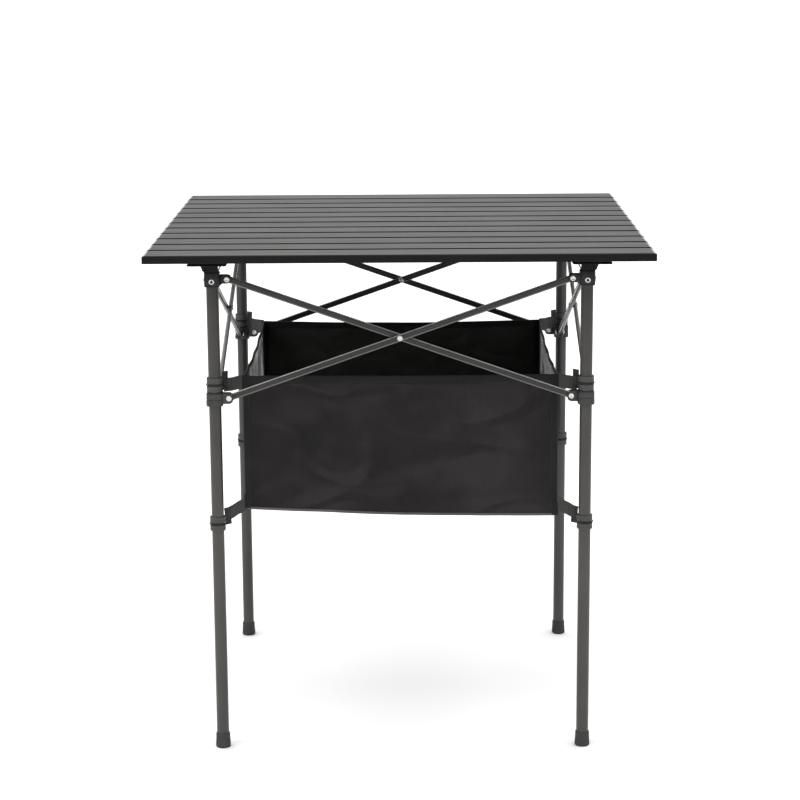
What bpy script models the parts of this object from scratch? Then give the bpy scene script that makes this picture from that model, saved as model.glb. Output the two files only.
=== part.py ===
# Roll-top camp table: slatted aluminium top on a collapsible frame of four legs joined by eight
# scissor bars, with a cloth storage bag slung between the legs. Metres, +Z up, front at -Y.
import bpy
import bmesh
import math
import numpy as np
from mathutils import Matrix, Vector

for _o in list(bpy.data.objects):
    bpy.data.objects.remove(_o, do_unlink=True)

# ---- driving dimensions ----
TOP_SIZE = 0.700          # side of the square top
TOP_Z = 0.737             # height of the top surface
SLATS = 12
SLAT_GAP = 0.0012
SLAT_T = 0.011            # depth of the slat channel
SLAT_SKIN = 0.0016
LEG = 0.2625              # leg axis from the centre, both ways
TUBE_R, TUBE_BORE = 0.0088, 0.0076
CLEAR = 0.0003
PIVOT_IN = 0.0205         # pivot pins sit this far inward of the leg axis
PIVOT_TOP_Z = 0.6913
PIVOT_LOW_Z = 0.5223
BAR_T, BAR_W = 0.0056, 0.0095
BAR_SIDE = 0.0031         # the two bars of one side cross side by side
PIN_R, HOLE_R = 0.0020, 0.0026
HEAD_R, HEAD_T = 0.0041, 0.0010
EAR_T = 0.0026
BRACKET = (0.0108, 0.6810, 0.7017)
SLIDER = (0.0117, 0.51065, 0.53015)
COLLAR_R, GROOVE_R, COLLAR_H = 0.0113, 0.0100, 0.0208
COLLAR_ZS = {"upper": 0.5412, "lower": 0.3385}
RING_R, RING_T = 0.0114, 0.0010
# heights of buckle and webbing from the collar's groove
STRAP_SPANS = {"upper": ((-0.0102, 0.0160), (-0.0135, 0.0065)), "lower": ((-0.0054, 0.0190), (0.0030, 0.0230))}
BAG_X, BAG_Y = 0.2250, 0.2250
BAG_Z0, BAG_Z1 = 0.3400, 0.5455
BAG_WALL = 0.0020
FLOOR_T = 0.0020
CORD_X = 0.3050
CORD_R = 0.0011
SEG = 12

SPAN = 2 * (LEG - PIVOT_IN)
DROP = PIVOT_TOP_Z - PIVOT_LOW_Z
BAR_L = math.hypot(SPAN, DROP)
REST = math.atan2(DROP, SPAN)
PITCH = TOP_SIZE / SLATS

MATS = {}


def material(name, rgb, rough, metal):
    if name not in MATS:
        m = bpy.data.materials.new(name)
        m.use_nodes = True
        b = m.node_tree.nodes["Principled BSDF"]
        b.inputs["Base Color"].default_value = (*rgb, 1)
        b.inputs["Roughness"].default_value = rough
        b.inputs["Metallic"].default_value = metal
        MATS[name] = m
    return MATS[name]


MATERIAL = {
    "slat": ((0.19, 0.19, 0.195), 0.45, 0.7),
    "tube": ((0.085, 0.083, 0.08), 0.4, 0.6),
    "bar": ((0.05, 0.05, 0.05), 0.4, 0.6),
    "bracket": ((0.045, 0.045, 0.045), 0.55, 0.0),
    "cap": ((0.03, 0.03, 0.03), 0.55, 0.0),
    "slider": ((0.04, 0.04, 0.04), 0.55, 0.0),
    "collar": ((0.06, 0.06, 0.06), 0.6, 0.0),
    "foot": ((0.06, 0.06, 0.06), 0.75, 0.0),
    "strap": ((0.035, 0.035, 0.035), 0.85, 0.0),
    "cord": ((0.03, 0.03, 0.03), 0.8, 0.0),
    "bag": ((0.028, 0.026, 0.026), 0.85, 0.0),
}


def solid(bm):
    bmesh.ops.remove_doubles(bm, verts=bm.verts, dist=1e-7)
    bmesh.ops.recalc_face_normals(bm, faces=bm.faces)
    return bm


def add(bm, name):
    solid(bm)
    me = bpy.data.meshes.new(name)
    bm.to_mesh(me)
    bm.free()
    return obj(name, me)


def obj(name, me):
    o = bpy.data.objects.new(name, me)
    bpy.context.scene.collection.objects.link(o)
    return o


def finish(o, mat, smooth=30):
    o.data.materials.clear()
    o.data.materials.append(material(mat, *MATERIAL[mat]))
    for p in o.data.polygons:
        p.use_smooth = True
    o.data.set_sharp_from_angle(angle=math.radians(smooth))
    return o


def combine(base, others, op):
    """base joined with or cut by the others, as one closed mesh; the others are removed"""
    for c in others:
        m = base.modifiers.new("b", "BOOLEAN")
        m.operation, m.solver, m.object = op, "EXACT", c
        dg = bpy.context.evaluated_depsgraph_get()
        me = bpy.data.meshes.new_from_object(base.evaluated_get(dg))
        base.modifiers.remove(m)
        base.data = me
        bpy.data.objects.remove(c, do_unlink=True)
    bm = bmesh.new()
    bm.from_mesh(base.data)
    bmesh.ops.dissolve_limit(bm, angle_limit=0.001, verts=bm.verts, edges=bm.edges)
    bmesh.ops.triangulate(bm, faces=bm.faces)
    bm.to_mesh(base.data)
    bm.free()
    return base


def prism(pts, lo, hi, axis, name="t", inset=0.0):
    """pts (2-D) pushed from lo to hi along axis; inset chamfers both ends"""
    bm = bmesh.new()

    def put(p, h):
        a, b = p
        return {"x": (h, a, b), "y": (a, h, b), "z": (a, b, h)}[axis]

    n = len(pts)
    cx = sum(p[0] for p in pts) / n
    cy = sum(p[1] for p in pts) / n

    def pull(p, d):
        v = Vector((p[0] - cx, p[1] - cy))
        k = max(0.0, 1 - d / max(v.length, 1e-9))
        return (cx + v.x * k, cy + v.y * k)

    if inset:
        rows = [(inset, lo), (0, lo + inset), (0, hi - inset), (inset, hi)]
    else:
        rows = [(0, lo), (0, hi)]
    rings = [[bm.verts.new(put(pull(p, d), h)) for p in pts] for d, h in rows]
    for a, b in zip(rings, rings[1:]):
        for i in range(n):
            j = (i + 1) % n
            bm.faces.new((a[i], a[j], b[j], b[i]))
    bm.faces.new(rings[0][::-1])
    bm.faces.new(rings[-1])
    return add(bm, name)


def circle(r, n=SEG, c=(0, 0), turn=0.5):
    return [(c[0] + r * math.cos(2 * math.pi * (i + turn) / n),
             c[1] + r * math.sin(2 * math.pi * (i + turn) / n)) for i in range(n)]


def rounded(hx, hy, r, n=3, c=(0, 0)):
    out = []
    for q, (sx, sy) in enumerate(((1, 1), (-1, 1), (-1, -1), (1, -1))):
        for i in range(n + 1):
            a = math.pi / 2 * (q + i / n)
            out.append((c[0] + sx * (hx - r) + r * math.cos(a),
                        c[1] + sy * (hy - r) + r * math.sin(a)))
    return out


def lathe(profile, name, n=SEG, closed=True):
    """profile of (r, z); a closed ring of points, or open with both ends on the axis"""
    bm = bmesh.new()
    rings = []
    for r, z in profile:
        if r < 1e-9:
            rings.append([bm.verts.new((0, 0, z))])
        else:
            rings.append([bm.verts.new((x, y, z)) for x, y in circle(r, n)])
    pairs = list(zip(rings, rings[1:]))
    if closed:
        pairs.append((rings[-1], rings[0]))
    for a, b in pairs:
        for i in range(n):
            j = (i + 1) % n
            if len(a) == 1:
                bm.faces.new((a[0], b[j], b[i]))
            elif len(b) == 1:
                bm.faces.new((a[i], a[j], b[0]))
            else:
                bm.faces.new((a[i], a[j], b[j], b[i]))
    return add(bm, name)


# ---- one corner's pieces, about the leg axis; the frame's inside is towards +X and +Y ----
def ear(direction, slot, z, reach, half):
    """two plates with a pin hole, beside a slot that is offset by slot from the leg's plane"""
    out = []
    gap = BAR_T / 2 + CLEAR
    for s in (-1, 1):
        lo = slot + s * gap
        hi = lo + s * EAR_T
        lo, hi = min(lo, hi), max(lo, hi)
        nose = [(reach - 0.0060 + 0.0060 * math.cos(a), z + half * math.sin(a))
                for a in (math.pi / 2 * k / 2 for k in range(2, -3, -1))]
        pts = [(0.0100, z - half), (0.0100, z + half)] + nose
        p = prism(pts, lo, hi, "y")
        h = prism(circle(HOLE_R, 8, (PIVOT_IN, z)), lo - 0.001, hi + 0.001, "y")
        combine(p, [h], "DIFFERENCE")
        if direction == "y":
            p.data.transform(Matrix.Rotation(math.pi / 2, 4, "Z") @ Matrix.Scale(-1, 4, (0, 1, 0)))
            bm = bmesh.new()
            bm.from_mesh(p.data)
            bmesh.ops.recalc_face_normals(bm, faces=bm.faces)
            bm.to_mesh(p.data)
            bm.free()
        out.append(p)
    return out


def sleeve(name, spec, pivot, x_slot, y_slot, half, reach):
    h, z0, z1 = spec
    body = prism(rounded(h, h, 0.0035, 2), z0, z1, "z", name)
    parts = ear("x", x_slot, pivot, reach, half) + ear("y", y_slot, pivot, reach, half)
    combine(body, parts, "UNION")
    combine(body, [prism(circle(TUBE_R + CLEAR), z0 - 0.01, z1 + 0.01, "z")], "DIFFERENCE")
    return body


tube = lathe([(TUBE_BORE, 0.0040), (TUBE_R, 0.0040), (TUBE_R, 0.7000), (TUBE_BORE, 0.7000)], "leg_tube_fl")
foot = lathe([(0, 0), (0.0092, 0), (0.0104, 0.0010), (0.0109, 0.0030), (0.0103, 0.0195),
              (0.0099, 0.0215), (TUBE_R + CLEAR, 0.0220), (TUBE_R + CLEAR, 0.0037), (0, 0.0037)],
             "foot_fl", closed=False)
bracket = sleeve("bracket_fl", BRACKET, PIVOT_TOP_Z, BAR_SIDE, -BAR_SIDE, 0.0060, 0.0265)
slider = sleeve("slider_fl", SLIDER, PIVOT_LOW_Z, -BAR_SIDE, BAR_SIDE, 0.0072, 0.0265)


def collar(name, zc):
    h, g = COLLAR_H / 2, 0.0017
    b = TUBE_R + CLEAR
    return lathe([(b, zc - h), (COLLAR_R - 0.0008, zc - h), (COLLAR_R, zc - h + 0.0008), (COLLAR_R, zc - g),
                  (GROOVE_R, zc - g), (GROOVE_R, zc + g), (COLLAR_R, zc + g), (COLLAR_R, zc + h - 0.0008),
                  (COLLAR_R - 0.0008, zc + h), (b, zc + h)], name)


def cap_block():
    """plug under the slat, wide flange, tapering neck and a spigot down into the tube"""
    off = -0.0050
    plug = prism(rounded(0.0245, 0.0245, 0.003, 2, (off, off)), 0.7156, TOP_Z - SLAT_T - CLEAR, "z", "cap_fl")
    flange = prism(rounded(0.0275, 0.0275, 0.004, 2, (off, off)), 0.7140, 0.7159, "z")
    bm = bmesh.new()
    lo = [bm.verts.new((x, y, 0.7022)) for x, y in rounded(0.0100, 0.0100, 0.003, 2)]
    hi = [bm.verts.new((x, y, 0.7145)) for x, y in rounded(0.0145, 0.0145, 0.003, 2, (-0.0022, -0.0022))]
    n = len(lo)
    for i in range(n):
        bm.faces.new((lo[i], lo[(i + 1) % n], hi[(i + 1) % n], hi[i]))
    bm.faces.new(lo[::-1])
    bm.faces.new(hi)
    neck = add(bm, "n")
    spigot = prism(circle(TUBE_BORE - 0.0004), 0.6850, 0.7030, "z")
    return combine(plug, [flange, neck, spigot], "UNION")


cap = cap_block()


def strap(name, zc, buckle_z, web_z):
    """ring round the collar's groove, a buckle plate and webbing out to the bag's corner"""
    d = Vector((LEG - BAG_X, LEG - BAG_Y)).normalized()
    reach = math.hypot(LEG - BAG_X, LEG - BAG_Y) - 0.0012
    ring = lathe([(RING_R - RING_T, zc - RING_T), (RING_R + RING_T, zc - RING_T),
                  (RING_R + RING_T, zc + RING_T), (RING_R - RING_T, zc + RING_T)], name)
    turn = Matrix.Rotation(math.atan2(d.y, d.x), 4, "Z")
    lo, hi = buckle_z
    buckle = prism(rounded(0.0016, (hi - lo) / 2, 0.0012, 1, (0, zc + (lo + hi) / 2)), 0.0145, 0.0235, "x")
    tongue = prism([(-0.0012, zc - 0.0009), (0.0012, zc - 0.0009), (0.0012, zc + 0.0009), (-0.0012, zc + 0.0009)],
                   0.0115, 0.0150, "x")
    lo, hi = web_z
    web = prism([(-0.0008, zc + lo), (0.0008, zc + lo), (0.0008, zc + hi), (-0.0008, zc + hi)], 0.0225, reach, "x")
    for o in (buckle, tongue, web):
        o.data.transform(turn)
    return combine(ring, [tongue, buckle, web], "UNION")


corner = {"leg_tube": (tube, "tube"), "foot": (foot, "foot"), "bracket": (bracket, "bracket"),
          "cap": (cap, "cap"), "slider": (slider, "slider")}
for level, zc in COLLAR_ZS.items():
    corner["collar_" + level] = (collar("collar_%s_fl" % level, zc), "collar")
    corner["strap_" + level] = (strap("strap_%s_fl" % level, zc, *STRAP_SPANS[level]), "strap")

# the four corners are quarter turns of one another
CORNERS = ("fl", "fr", "br", "bl")
for kind, (o, mat) in corner.items():
    finish(o, mat)
    for k, c in enumerate(CORNERS):
        q = o if k == 0 else obj("%s_%s" % (kind, c), o.data)
        a = math.pi / 2 * k
        q.rotation_euler = (0, 0, a)
        q.location = Matrix.Rotation(a, 3, "Z") @ Vector((-LEG, -LEG, 0))
        q.name = "%s_%s" % (kind, c)


# ---- scissor bars: lie along X, thickness in Y, pins across ----
def bar_body(name):
    n = 3
    half, r = BAR_L / 2, BAR_W / 2
    pts = [(half + r * math.cos(a), r * math.sin(a)) for a in (math.pi * (k / n - 0.5) for k in range(n + 1))]
    pts += [(-x, -z) for x, z in pts]
    bm = bmesh.new()
    rings = []
    for y, d in ((-BAR_T / 2, 0.0), (BAR_T / 2, 0.0)):
        k = (r - d) / r
        rings.append([bm.verts.new((math.copysign(half, x) + (x - math.copysign(half, x)) * k, y, z * k))
                      for x, z in pts])
    m = len(pts)
    for a, b in zip(rings, rings[1:]):
        for i in range(m):
            j = (i + 1) % m
            bm.faces.new((a[i], a[j], b[j], b[i]))
    bm.faces.new(rings[0][::-1])
    bm.faces.new(rings[-1])
    return add(bm, name)


def rivet(x, lo, hi):
    """pin and heads as one turned solid"""
    h = HEAD_T
    p = lathe([(0, lo - h), (HEAD_R, lo - h * 0.6), (HEAD_R, lo), (PIN_R, lo),
               (PIN_R, hi), (HEAD_R, hi), (HEAD_R, hi + h * 0.6), (0, hi + h)], "r", 10, closed=False)
    p.data.transform(Matrix.Translation((x, 0, 0)) @ Matrix.Rotation(-math.pi / 2, 4, "X"))
    return p


reach = BAR_T / 2 + CLEAR + EAR_T + CLEAR
inner_bar = bar_body("bar_a")
# the inner bar carries the crossing rivet, which reaches through the outer bar (towards -Y)
combine(inner_bar, [rivet(-BAR_L / 2, -reach, reach), rivet(BAR_L / 2, -reach, reach),
                    rivet(0, -(2 * BAR_SIDE + BAR_T / 2 + CLEAR), BAR_T / 2 + CLEAR)], "UNION")
outer_bar = bar_body("bar_b")
combine(outer_bar, [prism(circle(HOLE_R, 8), -0.01, 0.01, "y")], "DIFFERENCE")
combine(outer_bar, [rivet(-BAR_L / 2, -reach, reach), rivet(BAR_L / 2, -reach, reach)], "UNION")
finish(inner_bar, "bar")
finish(outer_bar, "bar")
mid_z = (PIVOT_TOP_Z + PIVOT_LOW_Z) / 2
for k, side in enumerate(("front", "right", "back", "left")):
    turn = Matrix.Rotation(math.pi / 2 * k, 4, "Z")
    # a: inner bar, from the first corner's bracket down to the next corner's slider; b: the other way
    for tag, src, tilt, y in (("a", inner_bar, REST, -LEG + BAR_SIDE), ("b", outer_bar, -REST, -LEG - BAR_SIDE)):
        q = src if k == 0 else obj("x", src.data)
        q.name = "bar_%s_%s" % (side, tag)
        q.matrix_world = turn @ Matrix.Translation((0, y, mid_z)) @ Matrix.Rotation(tilt, 4, "Y")


# ---- slatted top: open-bottomed channels along X, threaded on an elastic cord ----
def channel():
    w = (PITCH - SLAT_GAP) / 2
    t = SLAT_SKIN
    e = 0.0006
    outer = [(-w, -SLAT_T), (-w + t, -SLAT_T), (-w + t, -t), (w - t, -t), (w - t, -SLAT_T), (w, -SLAT_T),
             (w, -e), (w - e, 0), (-w + e, 0), (-w, -e)]
    o = prism(outer, -TOP_SIZE / 2, TOP_SIZE / 2, "x", "slat_01")
    cuts = [prism(circle(CORD_R + 0.0007, 6, (s * CORD_X, -0.0065)), -w - 0.01, w + 0.01, "y") for s in (-1, 1)]
    return combine(o, cuts, "DIFFERENCE")


slat = channel()
finish(slat, "slat")
for k in range(SLATS):
    q = slat if k == 0 else obj("x", slat.data)
    q.name = "slat_%02d" % (k + 1)
    q.location = (0, -TOP_SIZE / 2 + PITCH * (k + 0.5), TOP_Z)


def tube_along(path, r, n, name):
    bm = bmesh.new()
    rings = []
    for i, p in enumerate(path):
        a = path[max(i - 1, 0)]
        b = path[min(i + 1, len(path) - 1)]
        t = (b - a).normalized()
        u = Vector((0, 0, 1))
        s = t.cross(u).normalized()
        rings.append([bm.verts.new(p + r * (math.cos(q) * s + math.sin(q) * u))
                      for q in (2 * math.pi * j / n for j in range(n))])
    for a, b in zip(rings, rings[1:]):
        for i in range(n):
            j = (i + 1) % n
            bm.faces.new((a[i], a[j], b[j], b[i]))
    bm.faces.new(rings[0][::-1])
    bm.faces.new(rings[-1])
    return add(bm, name)


def cord():
    """one loop of elastic: back along both sides, across inside the last slat"""
    z = TOP_Z - 0.0065
    y0 = -TOP_SIZE / 2 + 0.0060
    y1 = TOP_SIZE / 2 - 0.0200
    b = 0.008
    path = [Vector((-CORD_X, y0, z)), Vector((-CORD_X, y1 - b, z))]
    path += [Vector((-CORD_X + b - b * math.cos(a), y1 - b + b * math.sin(a), z)) for a in (math.pi / 6, math.pi / 3, math.pi / 2)]
    path += [Vector((-p.x, p.y, p.z)) for p in reversed(path)]
    return tube_along(path, CORD_R, 6, "elastic_cord")


finish(cord(), "cord")


# ---- storage bag: four walls in one ring, and a floor folded along its middle ----
def bag_walls():
    dip = 0.012
    n = 8
    bm = bmesh.new()
    base = BAG_Z0 + FLOOR_T + CLEAR
    loop = []
    for k in range(n):
        loop.append((-1 + 2 * k / n, -1, 0.10 * dip * math.sin(math.pi * k / n)))
    for k in range(n):
        loop.append((1, -1 + 2 * k / n, dip * math.sin(math.pi * k / n)))
    for k in range(n):
        loop.append((1 - 2 * k / n, 1, 0.10 * dip * math.sin(math.pi * k / n)))
    for k in range(n):
        loop.append((-1, 1 - 2 * k / n, dip * math.sin(math.pi * k / n)))
    quad = []
    for hx, hy in ((BAG_X, BAG_Y), (BAG_X - BAG_WALL, BAG_Y - BAG_WALL)):
        quad.append([bm.verts.new((x * hx, y * hy, base)) for x, y, d in loop])
        quad.append([bm.verts.new((x * hx, y * hy, BAG_Z1 - d)) for x, y, d in loop])
    ob, ot, ib, it = quad
    m = len(loop)
    for i in range(m):
        j = (i + 1) % m
        bm.faces.new((ob[i], ob[j], ot[j], ot[i]))
        bm.faces.new((ib[j], ib[i], it[i], it[j]))
        bm.faces.new((ot[i], ot[j], it[j], it[i]))
        bm.faces.new((ob[j], ob[i], ib[i], ib[j]))
    return add(bm, "bag_walls")


finish(bag_walls(), "bag")
for side, s in (("left", -1), ("right", 1)):
    a, b = sorted((s * BAG_X, s * CLEAR / 2))
    o = prism([(a, -BAG_Y), (b, -BAG_Y), (b, BAG_Y), (a, BAG_Y)], BAG_Z0, BAG_Z0 + FLOOR_T, "z", "bag_floor_" + side)
    finish(o, "bag")
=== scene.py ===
import bpy
import bmesh
import math
from mathutils import Matrix, Vector, noise


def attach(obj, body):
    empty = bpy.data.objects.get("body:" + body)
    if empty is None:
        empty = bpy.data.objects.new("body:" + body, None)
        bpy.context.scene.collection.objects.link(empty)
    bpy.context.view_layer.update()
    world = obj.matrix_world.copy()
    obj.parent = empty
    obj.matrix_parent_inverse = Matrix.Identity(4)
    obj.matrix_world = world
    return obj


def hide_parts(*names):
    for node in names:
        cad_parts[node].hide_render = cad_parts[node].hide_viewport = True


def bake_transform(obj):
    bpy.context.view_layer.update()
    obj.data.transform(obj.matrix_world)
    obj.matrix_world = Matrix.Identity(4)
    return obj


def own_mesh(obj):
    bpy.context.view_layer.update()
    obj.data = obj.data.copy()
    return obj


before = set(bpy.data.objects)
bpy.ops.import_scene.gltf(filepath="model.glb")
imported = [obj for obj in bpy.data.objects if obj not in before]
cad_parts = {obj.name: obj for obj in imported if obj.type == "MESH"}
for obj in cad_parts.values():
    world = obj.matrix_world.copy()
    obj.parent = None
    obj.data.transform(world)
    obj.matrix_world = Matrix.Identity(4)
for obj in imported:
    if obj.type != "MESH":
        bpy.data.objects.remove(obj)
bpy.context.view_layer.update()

# ---- sizes shared with the CAD (metres) ----
TOP, TOP_Z, SLATS, SLAT_T = 0.700, 0.737, 12, 0.011
PITCH = TOP / SLATS
LEG, PIN_IN, ZT, ZL = 0.2625, 0.0205, 0.6913, 0.5223
BAR_T, BAR_W, SIDE = 0.0056, 0.0095, 0.0031
SPAN, DROP = 2 * (LEG - PIN_IN), ZT - ZL
BAR_L, REST, MID = math.hypot(SPAN, DROP), math.atan2(DROP, SPAN), (ZT + ZL) / 2
BAG, BAG_Z0, BAG_Z1 = 0.2250, 0.3400, 0.5455
SIDE_DIP = 0.0045
COLLARS = {"upper": 0.5412, "lower": 0.3385}
CORNERS = ("fl", "fr", "br", "bl")
SIDES = ("front", "right", "back", "left")

scene = bpy.context.scene
scene.view_settings.view_transform = "Standard"


# ================= node helpers =================
class Mat:
    def __init__(self, name, rough=0.5, metal=0.0, spec=0.5):
        self.m = bpy.data.materials.new(name)
        self.m.use_nodes = True
        self.t = self.m.node_tree
        self.b = self.t.nodes["Principled BSDF"]
        self.b.inputs["Roughness"].default_value = rough
        self.b.inputs["Metallic"].default_value = metal
        self.b.inputs["Specular IOR Level"].default_value = spec
        self.co = self.t.nodes.new("ShaderNodeTexCoord").outputs["Object"]

    def n(self, kind, **kw):
        node = self.t.nodes.new(kind)
        for k, v in kw.items():
            setattr(node, k, v)
        return node

    def link(self, a, b):
        self.t.links.new(a, b)

    def math(self, op, a, b=None, clamp=False):
        q = self.n("ShaderNodeMath", operation=op, use_clamp=clamp)
        for i, v in enumerate((a, b)):
            if v is None:
                continue
            if isinstance(v, (int, float)):
                q.inputs[i].default_value = v
            else:
                self.link(v, q.inputs[i])
        return q.outputs[0]

    def mapped(self, scale, src=None):
        q = self.n("ShaderNodeMapping")
        q.inputs["Scale"].default_value = scale
        self.link(src or self.co, q.inputs["Vector"])
        return q.outputs[0]

    def noise(self, scale, detail=4, stretch=(1, 1, 1), rough=0.55):
        q = self.n("ShaderNodeTexNoise")
        q.inputs["Scale"].default_value = scale
        q.inputs["Detail"].default_value = detail
        q.inputs["Roughness"].default_value = rough
        self.link(self.mapped(stretch), q.inputs["Vector"])
        return q.outputs["Fac"]

    def xyz(self):
        q = self.n("ShaderNodeSeparateXYZ")
        self.link(self.co, q.inputs[0])
        return q.outputs[0], q.outputs[1], q.outputs[2]

    def ramp(self, fac, stops):
        q = self.n("ShaderNodeValToRGB")
        e = q.color_ramp.elements
        while len(e) < len(stops):
            e.new(0.5)
        for el, (p, c) in zip(e, stops):
            el.position = p
            el.color = (*c, 1)
        self.link(fac, q.inputs["Fac"])
        return q.outputs["Color"]

    def mix(self, fac, a, b):
        q = self.n("ShaderNodeMix", data_type="RGBA")
        for i, v in ((0, fac), (6, a), (7, b)):
            if isinstance(v, (int, float)):
                q.inputs[i].default_value = v
            elif isinstance(v, tuple):
                q.inputs[i].default_value = (*v, 1)
            else:
                self.link(v, q.inputs[i])
        return q.outputs[2]

    def span(self, v, lo, hi, a=0.0, b=1.0):
        q = self.n("ShaderNodeMapRange")
        q.inputs["From Min"].default_value, q.inputs["From Max"].default_value = a, b
        q.inputs["To Min"].default_value, q.inputs["To Max"].default_value = lo, hi
        self.link(v, q.inputs["Value"])
        return q.outputs[0]

    def color(self, v):
        if isinstance(v, tuple):
            self.b.inputs["Base Color"].default_value = (*v, 1)
        else:
            self.link(v, self.b.inputs["Base Color"])
        return self

    def rough(self, v):
        self.link(v, self.b.inputs["Roughness"])
        return self

    def bump(self, height, strength=0.3, dist=0.0004):
        q = self.n("ShaderNodeBump")
        q.inputs["Strength"].default_value = strength
        q.inputs["Distance"].default_value = dist
        self.link(height, q.inputs["Height"])
        if getattr(self, "_last", None):
            self.link(self._last, q.inputs["Normal"])
        self._last = q.outputs["Normal"]
        self.link(self._last, self.b.inputs["Normal"])
        return self


def tint(rgb, k):
    return tuple(min(1.0, c * k) for c in rgb)


def metal_coat(name, rgb, rough=0.42, metal=0.35, grain=(1, 1, 1), vary=0.12, spec=0.5):
    """powder-coated or anodised aluminium: fine orange peel, slight blotches in colour and gloss"""
    m = Mat(name, rough, metal, spec)
    big = m.noise(14, 3)
    fine = m.noise(900, 3, grain)
    m.color(m.ramp(big, [(0.3, tint(rgb, 1 - vary)), (0.7, tint(rgb, 1 + vary))]))
    m.rough(m.span(m.math("ADD", m.math("MULTIPLY", big, 0.5), m.math("MULTIPLY", fine, 0.5)), rough - 0.08, rough + 0.08, 0.3, 0.7))
    m.bump(fine, 0.25, 0.00006)
    return m


def plastic(name, rgb, rough=0.5, spec=0.3):
    """moulded plastic with a fine spark-eroded grain"""
    m = Mat(name, rough, 0.0, spec)
    big, fine = m.noise(30, 3), m.noise(1500, 2)
    m.color(m.ramp(big, [(0.3, tint(rgb, 0.85)), (0.7, tint(rgb, 1.15))]))
    m.rough(m.span(fine, rough - 0.07, rough + 0.1, 0.3, 0.7))
    m.bump(fine, 0.35, 0.00008)
    return m


def weave(name, rgb, u, v, pitch, rough=0.85, depth=0.00018, sheen=0.04, vary=0.3, spec=0.12):
    """plain woven cloth: yarns over and under along the u and v axes (0 X, 1 Y, 2 Z)"""
    m = Mat(name, rough, 0.0, spec)
    axes = m.xyz()
    k = 2 * math.pi / pitch
    a = m.math("SINE", m.math("MULTIPLY", axes[u], k))
    b = m.math("SINE", m.math("MULTIPLY", axes[v], k))
    over = m.math("MULTIPLY", a, b)
    yarn = m.math("ADD", m.math("MULTIPLY", m.math("ABSOLUTE", a), 0.5), m.math("MULTIPLY", m.math("ABSOLUTE", b), 0.5))
    height = m.math("ADD", m.math("MULTIPLY", over, 0.35), yarn)
    slub = m.noise(260, 3, (1, 1, 0.15) if u == 0 else (1, 1, 1))
    blot = m.noise(7, 4)
    base = m.ramp(blot, [(0.3, tint(rgb, 1 - vary)), (0.7, tint(rgb, 1 + vary))])
    # painted light and random blotches: the per-vertex attribute mixes the cloth towards a colour 2.6 times paler
    at = m.n("ShaderNodeAttribute", attribute_name="rub").outputs["Fac"]
    base = m.mix(m.math("MULTIPLY", at, 0.75, True), base, tint(rgb, 2.6))
    m.color(m.mix(m.math("MULTIPLY", m.span(over, 0.0, 0.5, -1, 1), slub), base, tint(rgb, 1.9)))
    m.rough(m.span(slub, rough - 0.1, min(1.0, rough + 0.1), 0.3, 0.7))
    m.b.inputs["Sheen Weight"].default_value = sheen
    m.b.inputs["Sheen Roughness"].default_value = 0.5
    m.bump(height, 0.6, depth)
    m.bump(blot, 0.35, 0.0015)
    return m


def brushed(name, rgb, rough=0.35, metal=0.85, contrast=0.06):
    m = Mat(name, rough, metal)
    streak = m.noise(500, 3, (0.02, 1, 1))
    band = m.noise(130, 2, (0.012, 1, 1))
    blot = m.noise(9, 3)
    both = m.math("ADD", m.math("MULTIPLY", band, 0.7), m.math("MULTIPLY", blot, 0.3))
    m.color(m.ramp(both, [(0.40, tint(rgb, 1 - contrast)), (0.60, tint(rgb, 1 + contrast))]))
    m.rough(m.span(streak, rough - 0.08, rough + 0.1, 0.3, 0.7))
    m.bump(streak, 0.2, 0.00004)
    return m


def net_material(name, rgb, u, v, cell, strand):
    """knitted net: two families of slanting strands, open between them"""
    m = Mat(name, 0.75, 0.0, 0.4)
    ax = m.xyz()
    out = None
    # bunched folds close the net, stretched places open it
    fold = m.noise(34, 3, (0.4, 1, 0.35))
    thick = m.span(fold, strand / cell * 0.36, strand / cell * 0.62, 0.38, 0.60)
    for s in (1, -1):
        q = m.math("ADD", ax[u], m.math("MULTIPLY", ax[v], 0.62 * s))
        wob = m.math("MULTIPLY", m.math("SUBTRACT", m.noise(120, 2), 0.5), cell * 0.25)
        q = m.math("ADD", q, wob)
        d = m.math("ABSOLUTE", m.math("SUBTRACT", m.math("FRACT", m.math("DIVIDE", q, cell)), 0.5))
        line = m.math("LESS_THAN", d, thick)
        out = line if out is None else m.math("MAXIMUM", out, line)
    m.link(out, m.b.inputs["Alpha"])
    m.color(m.ramp(m.noise(45, 3, (0.4, 1, 0.4)), [(0.38, tint(rgb, 0.75)), (0.62, tint(rgb, 1.3))]))
    m.bump(m.noise(900, 2), 0.4, 0.0002)
    return m


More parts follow.
